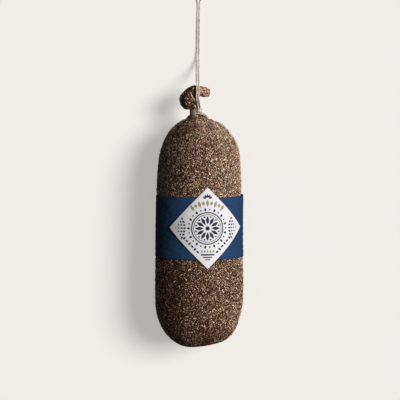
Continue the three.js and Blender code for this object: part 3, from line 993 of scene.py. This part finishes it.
# Painted light: on the cheek the pepper is paler towards the twine, where the twine's shadow falls.
share = coat_random.uniform(CHEEK_GRAINS_FROM, 1, CHEEK_GRAINS)
angle = golden_turns(CHEEK_GRAINS)
pepper_tube("pepper_cheek", CHEEK, share, angle, (0.9, 1.7), (-4.5, -2), (-0.15, 0.65))

# %% Pepper on the tie
# Some of the coat has caught on the wraps, and covers them on the left and at the back.
TIE_GRAINS = 560
TIE_GRAIN_SIZES = (0.9, 1.8)
TIE_GRAINS_FACE = math.radians(-85)
TIE_GRAINS_REACH = math.radians(170)
TIE_GRAIN_HEIGHT = 0.5
TIE_GRAINS_ALONG = (-3.0, 2.3)
TIE_GRAINS_DROP = 2.6
TIE_TINT = -0.2

angle = TIE_GRAINS_FACE + TIE_GRAINS_REACH * coat_random.uniform(-1, 1, TIE_GRAINS)
outward = np.stack([np.sin(angle), 0 * angle, np.cos(angle)], axis=1)
at = TIE_CENTRE + (TIE_RADIUS + TIE_GRAIN_HEIGHT) * outward
drop = TIE_GRAINS_DROP * smooth_step(np.degrees(angle), 10, 40)
at[:, 1] += coat_random.uniform(TIE_GRAINS_ALONG[0], TIE_GRAINS_ALONG[1] - drop)
sizes = coat_random.uniform(*TIE_GRAIN_SIZES, TIE_GRAINS)
scatter("pepper_tie", at, outward, sizes, coat_random, TIE_TINT)

# %% Bare rim
# Where the empty casing is folded over, its edge is bare: pinkish, dry and slightly shiny.
BLOTCH_WIDTH = 1.2
RIM_RADIUS = 0.95
RIM = [
    (-8.4, 123.2, 46.8),
    (-7.4, 120, 48.3),
    (-5.4, 117, 48.7),
    (-3.6, 114.6, 48.2),
    (-2.6, 112, 47.6),
    (-2.2, 109.4, 47.4),
    (-1.6, 107, 47.4),
]

rim_finish = noisy_material(
    "bare_dried_casing",
    {"Roughness": 0.55},
    pattern=(BLOTCH_WIDTH, 3.0),
    colours=[(0.35, "#94766a"), (0.6, "#d0b6ab")],
    relief=(0.5, 0.2),
)
rim_line = curve_through(RIM, np.linspace(0, 1, 60))
rim_mesh = tube_mesh("casing_rim", [rim_line], RIM_RADIUS)
add_piece("casing_rim", rim_mesh, [rim_finish])

# %% [markdown]
# The band is one strip of navy paper, wrapped round the coat and glued where it overlaps at the
# back. Paper is thin, so what shows is its colour, its clean edge, and the pepper underneath
# that pushes small bumps into it. The strip is a thin rectangle spun round, and a soft noise
# moves its two faces together.

# %% Paper materials
FIBRE_DEPTH = 0.05


def paper_material(name, colours, fibre_width, roughness, bump):
    """Printed or plain paper: nearly even colour, with the faint cloudiness of its fibres."""
    shine = {"Roughness": roughness, "Specular IOR Level": 0.08}
    return noisy_material(name, shine, (fibre_width, 5.0, 0.6), colours, (bump, FIBRE_DEPTH))


# Uncoated paper printed solid navy, with a soft satin shine.
band_finish = paper_material(
    "navy_printed_paper", [(0.3, "#385474"), (0.7, "#3f5c7d")], 0.8, 0.7, 0.35
)

# %% Paper band
BAND_THICKNESS = 0.4
BAND_OUTSIDE = 0.3
BAND_SIDES = 240
BAND_ROWS = 60
BAND_FLOOR = 0.08
BAND_PRESSED_THICKNESS = 0.3
BUMP_WIDTH = 2.4
BUMP_HEIGHT = 0.16
EDGE_BUMP_SHARE = 0.6
NOISE_WAVES = 24
WAVE_SPREAD = (0.6, 1.4)


def soft_noise(points, width, seed):
    """Smooth random values from about -1 to 1: a sum of waves in seeded random directions."""
    random = np.random.default_rng(seed)
    total = np.zeros(len(points))
    for _ in range(NOISE_WAVES):
        wave = unit(random.normal(size=3)) * random.uniform(*WAVE_SPREAD) * math.pi / width
        total += np.sin(points @ wave + random.uniform(0, 2 * math.pi))
    return total / math.sqrt(NOISE_WAVES / 2) / 1.5


def place_band(points):
    y = points[:, 1]
    angle = np.arctan2(points[:, 0], points[:, 2])
    inside = np.hypot(points[:, 0], points[:, 2]) < 1.5
    edge = (y == BAND_Y[0]) | (y == BAND_Y[1])
    relief = BUMP_HEIGHT * soft_noise(surface_point(y, angle), BUMP_WIDTH, 3)
    offset = BAND_OUTSIDE + band_flare(y, angle) + relief * np.where(edge, EDGE_BUMP_SHARE, 1)
    lowest = BAND_FLOOR + BAND_PRESSED_THICKNESS * inside
    return surface_point(y, angle, offset - BAND_THICKNESS * inside, lowest)


# The strip is drawn with radii of 1 and 2, which only tell its inside from its outside.
rows = np.linspace(*BAND_Y, BAND_ROWS)
strip = [(y, 2) for y in rows] + [(y, 1) for y in rows[::-1]]
band_mesh = turned_mesh("paper_band_wrap", strip, BAND_SIDES, closed=True)
reshape(band_mesh, place_band)
band = add_piece("paper_band_wrap", band_mesh, [band_finish])
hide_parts("paper_band")

# %% [markdown]
# The label is a square of white paper on its corner, stuck over the band, with its top and
# bottom corners on the pepper. It starts as a flat grid and is wrapped by the same formulas.

# %% Paper label
LABEL_OFFSET = 1.0
LABEL_THICKNESS = 0.3
LABEL_CELLS = 72
LIFT_HEIGHT = 0.35
WAVE_HEIGHT = 0.1

# Smooth label stock with a faint satin shine.
label_finish = paper_material(
    "white_label_paper", [(0.3, "#dddadb"), (0.7, "#e5e2e3")], 0.6, 0.6, 0.25
)


def on_label(across, along, above):
    """A point on the label's face, from flat millimetres measured from its middle."""
    angle = LABEL_ANGLE + across / BELLY_RADIUS
    corner = np.abs(across) / (LABEL_WIDTH / 2) + np.abs(along) / (LABEL_HEIGHT / 2)
    lift = LIFT_HEIGHT * smooth_step(corner, 0.86, 1.0) * smooth_step(np.abs(across), 25, 42)
    wave = WAVE_HEIGHT * np.sin(across / 9 + 1) * np.sin(along / 8)
    offset = LABEL_OFFSET + above + lift + wave + band_flare(LABEL_Y + along, angle)
    return surface_point(LABEL_Y + along, angle, offset)


def place_label(points):
    across = LABEL_WIDTH / 4 * (points[:, 0] + points[:, 1])
    along = LABEL_HEIGHT / 4 * (points[:, 1] - points[:, 0])
    return on_label(across, along, points[:, 2])


def thicken(bm, thickness):
    """Turns flat faces into a closed sheet: their copies move up, and walls join the two."""
    lifted = bmesh.ops.extrude_face_region(bm, geom=bm.faces)["geom"]
    top = [item for item in lifted if isinstance(item, bmesh.types.BMVert)]
    bmesh.ops.translate(bm, verts=top, vec=(0, 0, thickness))
    bmesh.ops.recalc_face_normals(bm, faces=bm.faces)


bm = bmesh.new()
bmesh.ops.create_grid(bm, x_segments=LABEL_CELLS, y_segments=LABEL_CELLS, size=1)
thicken(bm, LABEL_THICKNESS)
label_mesh = to_mesh("diamond_label", bm)
reshape(label_mesh, place_label)
label = add_piece("diamond_label", label_mesh, [label_finish])
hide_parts("paper_label")

# %% [markdown]
# The print on the label is plain ornament: a rosette in a double ring, a ring of lozenges, and
# rows of leaves at both sides and along the lower borders. Above are an arch of gold lozenges
# and a fan of leaves, and below a gold row and a few bars. Each mark is drawn flat with a bmesh
# primitive, given the thickness of a layer of ink, and wrapped with the label's own formula.

# %% Print materials
# Letterpress ink on paper: flat colour with a slightly uneven edge to its depth.
slate_ink = paper_material(
    "slate_letterpress_ink", [(0.3, "#33384e"), (0.7, "#4a5067")], 0.5, 0.5, 0.2
)
gold_ink = paper_material(
    "olive_gold_letterpress_ink", [(0.3, "#96917a"), (0.7, "#aeaa92")], 0.5, 0.45, 0.2
)

# %% Print
INK_THICKNESS = 0.06
INK_GRIP = 0.02
INK_SLICE = 1.0
RINGS = [(15.4, 1.0), (13.4, 0.5)]
RING_STEPS = 72
ROSETTE_PETALS = 12
PETAL_RADIUS = 8.0
BEAD_RADIUS = 11.4
RING_LOZENGES = 26
LOZENGE_RADIUS = 18.4
SIDE_ROWS = 4
SIDE_REACH = 22.6
SIDE_STEP = 3.1
BORDER_LEAVES = 6
BORDER_REACH = 32.5
FAN_Y = 28.0
FAN_REACH = 3.6
BARS = [(-25.8, 13, 1.3), (-28.3, 9, 1.0), (-30.6, 5, 0.9)]
ARCH_RADIUS = 24.6
GOLD_ROW_Y = -22.6


def draw(bm, shape, across, along, turn=0.0, stretch=(1, 1)):
    """Adds what shape(bm) makes, stretched, turned by an angle in radians and moved."""
    made = shape(bm)["verts"]
    place = Matrix.Translation((across, along, 0)) @ Matrix.Rotation(turn, 4, "Z")
    bmesh.ops.transform(bm, matrix=place @ Matrix.Diagonal((*stretch, 1, 1)), verts=made)


def disc(bm):
    return bmesh.ops.create_circle(bm, cap_ends=True, segments=12, radius=0.5)


def lozenge(bm):
    return bmesh.ops.create_circle(bm, cap_ends=True, segments=4, radius=0.5)


def leaf(bm):
    """A pointed oval, one long along X."""
    made = bmesh.ops.create_circle(bm, cap_ends=True, segments=12, radius=0.5)
    for vert in made["verts"]:
        vert.co.y *= 1 - (2 * abs(vert.co.x)) ** 1.6
    return made


def bar(bm):
    return bmesh.ops.create_grid(bm, x_segments=16, y_segments=1, size=0.5)


def ring(radius, width):
    """A function that draws a ring."""

    def shape(bm):
        before = set(bm.verts)
        ends = [bm.verts.new((radius + side * width / 2, 0, 0)) for side in (-1, 1)]
        spin_round(bm, [*ends, bm.edges.new(ends)], (0, 0, 1), RING_STEPS)
        return {"verts": [v for v in bm.verts if v not in before]}

    return shape


def print_piece(name, bm, material):
    for across in np.arange(-LABEL_WIDTH / 2, LABEL_WIDTH / 2, INK_SLICE):
        everything = [*bm.verts, *bm.edges, *bm.faces]
        bmesh.ops.bisect_plane(bm, geom=everything, plane_co=(across, 0, 0), plane_no=(1, 0, 0))
    thicken(bm, INK_THICKNESS)
    mesh = to_mesh(name, bm)
    above = LABEL_THICKNESS - INK_GRIP
    reshape(mesh, lambda p: on_label(p[:, 0], p[:, 1], p[:, 2] + above))
    add_piece(name, mesh, [material], smooth=False)


def on_circle(radius, angle, middle=0.0):
    """A place on a circle, as (across, along, angle)."""
    return radius * math.cos(angle), middle + radius * math.sin(angle), angle


def around(count, radius, start=0.0):
    return [on_circle(radius, start + 2 * math.pi * i / count) for i in range(count)]


slate = bmesh.new()
for radius, width in RINGS:
    draw(slate, ring(radius, width), 0, 0)
for place in around(ROSETTE_PETALS, PETAL_RADIUS):
    draw(slate, leaf, *place, (8.8, 3.2))
for place in around(ROSETTE_PETALS, BEAD_RADIUS, math.pi / ROSETTE_PETALS):
    draw(slate, disc, *place, (1.7, 1.7))
draw(slate, disc, 0, 0, 0, (4.2, 4.2))
for i, place in enumerate(around(RING_LOZENGES, LOZENGE_RADIUS)):
    draw(slate, lozenge, *place, (3.6, 2.4) if i % 2 else (2.0, 1.8))
for side in (-1, 1):
    for row in range(SIDE_ROWS):
        size = 3.2 - 0.45 * row
        for step in range(row - SIDE_ROWS + 1, SIDE_ROWS - row):
            reach = SIDE_REACH + SIDE_STEP * row + 0.3 * step**2
            turn = side * 0.3 * step
            draw(slate, leaf, side * reach, SIDE_STEP * step, turn, (size, 0.6 * size))
    for step in range(BORDER_LEAVES):
        share = 0.3 + 0.41 * step / (BORDER_LEAVES - 1)
        across, along = BORDER_REACH * (1 - share), -BORDER_REACH * share
        turn = side * math.radians(45 if step % 2 else -45)
        draw(slate, leaf, side * across, along, turn, (3.8, 2.0))
for step in range(-2, 3):
    draw(slate, leaf, *on_circle(FAN_REACH, math.pi / 2 - 0.5 * step, FAN_Y), (4.2, 1.9))
for along, width, height in BARS:
    draw(slate, bar, 0, along, 0, (width, height))
print_piece("label_print_slate", slate, slate_ink)

gold = bmesh.new()
for step in range(-4, 5):
    tall = 4.2 if step % 2 else 7.0
    draw(gold, lozenge, *on_circle(ARCH_RADIUS, math.pi / 2 - 0.16 * step), (tall, 3.2))
for step in range(-2, 3):
    draw(gold, lozenge, 2.8 * step, GOLD_ROW_Y, 0, (2.2, 3.0))
print_piece("label_print_gold", gold, gold_ink)

# %% [markdown]
# The table is a wide pale sheet, and the light comes from the right, as in a still life beside
# a window: one soft key, a dim surround, and no fill on the left. The key is a sun with a wide
# angle, so its shadow is soft and the table stays evenly bright.

# %% Table and light
TABLE_HALF_WIDTH = 4.0
TABLE_GLOW = 0.54

bm = bmesh.new()
bmesh.ops.create_grid(bm, x_segments=1, y_segments=1, size=TABLE_HALF_WIDTH)
table_mesh = to_mesh("table", bm)
table = add_object("table", table_mesh)
# Opal acrylic over a dim lamp, so that the sausage's shadow on it is pale. Only the camera sees
# it so pale: it throws little light back, and the sausage's shaded side stays dark.
table_finish = new_material("opal_acrylic_table", {"Roughness": 0.9, "Specular IOR Level": 0.0})
seen = add_node(table_finish, "ShaderNodeLightPath", {}).outputs["Is Camera Ray"]
table_colour = colour_steps(table_finish, seen, [(0.0, "#73716f"), (1.0, "#a2a19f")])
glow_colour = colour_steps(table_finish, seen, [(0.0, "#000000"), (1.0, "#fffaf5")])
table_shader = table_finish.node_tree.nodes["Principled BSDF"]
table_finish.node_tree.links.new(table_colour, table_shader.inputs["Base Color"])
table_finish.node_tree.links.new(glow_colour, table_shader.inputs["Emission Color"])
table_shader.inputs["Emission Strength"].default_value = TABLE_GLOW
table_mesh.materials.append(table_finish)

KEY_ELEVATION = math.radians(55)
KEY_AHEAD = 0.2
KEY_ANGLE = math.radians(25)
KEY_STRENGTH = 3.7
SURROUND_STRENGTH = 0.08
GAMMA = 0.75

key_data = bpy.data.lights.new("key", "SUN")
key_data.energy = KEY_STRENGTH
key_data.angle = KEY_ANGLE
key = add_object("key", key_data)
from_right = Vector((math.cos(KEY_ELEVATION), KEY_AHEAD, math.sin(KEY_ELEVATION)))
key.rotation_euler = from_right.to_track_quat("Z", "Y").to_euler()

world = bpy.data.worlds.new("surround")
world.use_nodes = True
background = world.node_tree.nodes["Background"]
background.inputs["Color"].default_value = linear("#ffffff")
background.inputs["Strength"].default_value = SURROUND_STRENGTH
bpy.context.scene.world = world
bpy.context.scene.view_settings.view_transform = "Standard"
bpy.context.scene.view_settings.gamma = GAMMA
